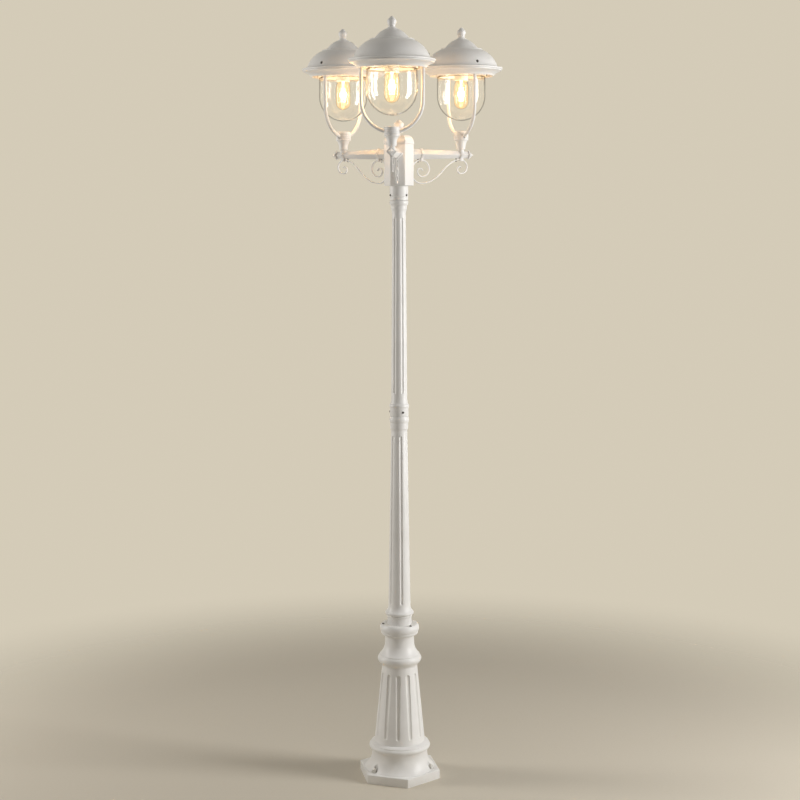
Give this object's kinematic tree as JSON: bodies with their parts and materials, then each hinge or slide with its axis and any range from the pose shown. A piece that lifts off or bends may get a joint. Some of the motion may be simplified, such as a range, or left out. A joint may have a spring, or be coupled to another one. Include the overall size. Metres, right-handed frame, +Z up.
{
  "type": "triple head lamp post",
  "caption": "Tall garden lamp post: fluted mast on a flared hexagonal pedestal, with scrolled arms carrying clear-globed lanterns under domed roofs.",
  "frame": {"origin": "centre of the foot plate's underside, on the mast's axis", "axes": "+Z up the mast, -Y along the front arm, the other arms at 30 and 150 degrees from +X towards +Y"},
  "size_m": [0.5834, 0.5373, 2.2],
  "materials": {
    "post_paint": "cast aluminium with a satin warm white powder coat",
    "lantern_paint": "cast aluminium with a satin warm white powder coat",
    "spun_paint": "spun aluminium with a satin warm white powder coat",
    "dark_screw": "blackened steel",
    "bright_fastener": "plated steel",
    "globe_glass": "clear",
    "bulb_glass": "clear, lit warm",
    "filament": "glowing",
    "cap_metal": "nickel plated",
    "holder": "heatproof moulding",
    "terminal": "natural nylon",
    "cable": "matt sheath"
  },
  "bodies": {
    "base": {"pedestal": "post_paint", "anchor_washers": "bright_fastener", "anchor_nuts": "bright_fastener", "foot_screws": "dark_screw", "base_terminal": "terminal", "trunk_lead": "cable"},
    "lower_mast": {"lower_mast": "post_paint"},
    "upper_mast": {"upper_mast": "post_paint", "coupling_screws": "dark_screw"},
    "head": {"hub": "post_paint", "hub_cap": "post_paint", "hub_finial": "post_paint", "hub_screws": "dark_screw", "hub_terminal": "terminal", "arm_tips": "post_paint", "arm_nuts": "bright_fastener", "scroll_clips": "post_paint", "scroll_screws": "dark_screw", "stem_caps": "lantern_paint", "lantern_leads": "cable", "glass_screws": "dark_screw", "front_arm": "post_paint", "front_scroll": "post_paint", "front_stem": "lantern_paint", "front_stirrup": "lantern_paint", "front_gallery": "spun_paint", "front_lamp_holder": "holder", "right_arm": "post_paint", "right_scroll": "post_paint", "right_stem": "lantern_paint", "right_stirrup": "lantern_paint", "right_gallery": "spun_paint", "right_lamp_holder": "holder", "left_arm": "post_paint", "left_scroll": "post_paint", "left_stem": "lantern_paint", "left_stirrup": "lantern_paint", "left_gallery": "spun_paint", "left_lamp_holder": "holder"},
    "front_roof": {"front_roof": "spun_paint", "front_roof_finial": "lantern_paint", "front_roof_screws": "dark_screw"},
    "front_globe": {"front_globe": "globe_glass"},
    "front_bulb": {"front_bulb_base": "cap_metal", "front_bulb_glass": "bulb_glass", "front_bulb_filament": "filament"},
    "right_roof": {"right_roof": "spun_paint", "right_roof_finial": "lantern_paint", "right_roof_screws": "dark_screw"},
    "right_globe": {"right_globe": "globe_glass"},
    "right_bulb": {"right_bulb_base": "cap_metal", "right_bulb_glass": "bulb_glass", "right_bulb_filament": "filament"},
    "left_roof": {"left_roof": "spun_paint", "left_roof_finial": "lantern_paint", "left_roof_screws": "dark_screw"},
    "left_globe": {"left_globe": "globe_glass"},
    "left_bulb": {"left_bulb_base": "cap_metal", "left_bulb_glass": "bulb_glass", "left_bulb_filament": "filament"}
  },
  "joints": [
    {"name": "mast_foot_swivel", "type": "hinge", "parent": "base", "child": "lower_mast", "pos_m": [0, 0, 0.4636], "axis": [0, 0, 1], "range_deg": [-180, 180]},
    {"name": "mast_coupling_swivel", "type": "hinge", "parent": "lower_mast", "child": "upper_mast", "pos_m": [0, 0, 1.083], "axis": [0, 0, 1], "range_deg": [-180, 180]},
    {"name": "hub_swivel", "type": "hinge", "parent": "upper_mast", "child": "head", "pos_m": [0, 0, 1.706], "axis": [0, 0, 1], "range_deg": [-180, 180]},
    {"name": "front_roof_lift", "type": "slide", "parent": "head", "child": "front_roof", "axis": [0, 0, 1], "range_m": [0, 0.12]},
    {"name": "front_globe_drop", "type": "slide", "parent": "head", "child": "front_globe", "axis": [0, 0, -1], "range_m": [0, 0.026]},
    {"name": "front_bulb_turn", "type": "hinge", "parent": "head", "child": "front_bulb", "pos_m": [0, -0.1986, 2.0502], "axis": [0, 0, -1], "range_deg": [0, 1080]},
    {"name": "right_roof_lift", "type": "slide", "parent": "head", "child": "right_roof", "axis": [0, 0, 1], "range_m": [0, 0.12]},
    {"name": "right_globe_drop", "type": "slide", "parent": "head", "child": "right_globe", "axis": [0, 0, -1], "range_m": [0, 0.026]},
    {"name": "right_bulb_turn", "type": "hinge", "parent": "head", "child": "right_bulb", "pos_m": [0.17199, 0.0993, 2.0502], "axis": [0, 0, -1], "range_deg": [0, 1080]},
    {"name": "left_roof_lift", "type": "slide", "parent": "head", "child": "left_roof", "axis": [0, 0, 1], "range_m": [0, 0.12]},
    {"name": "left_globe_drop", "type": "slide", "parent": "head", "child": "left_globe", "axis": [0, 0, -1], "range_m": [0, 0.026]},
    {"name": "left_bulb_turn", "type": "hinge", "parent": "head", "child": "left_bulb", "pos_m": [-0.17199, 0.0993, 2.0502], "axis": [0, 0, -1], "range_deg": [0, 1080]}
  ]
}
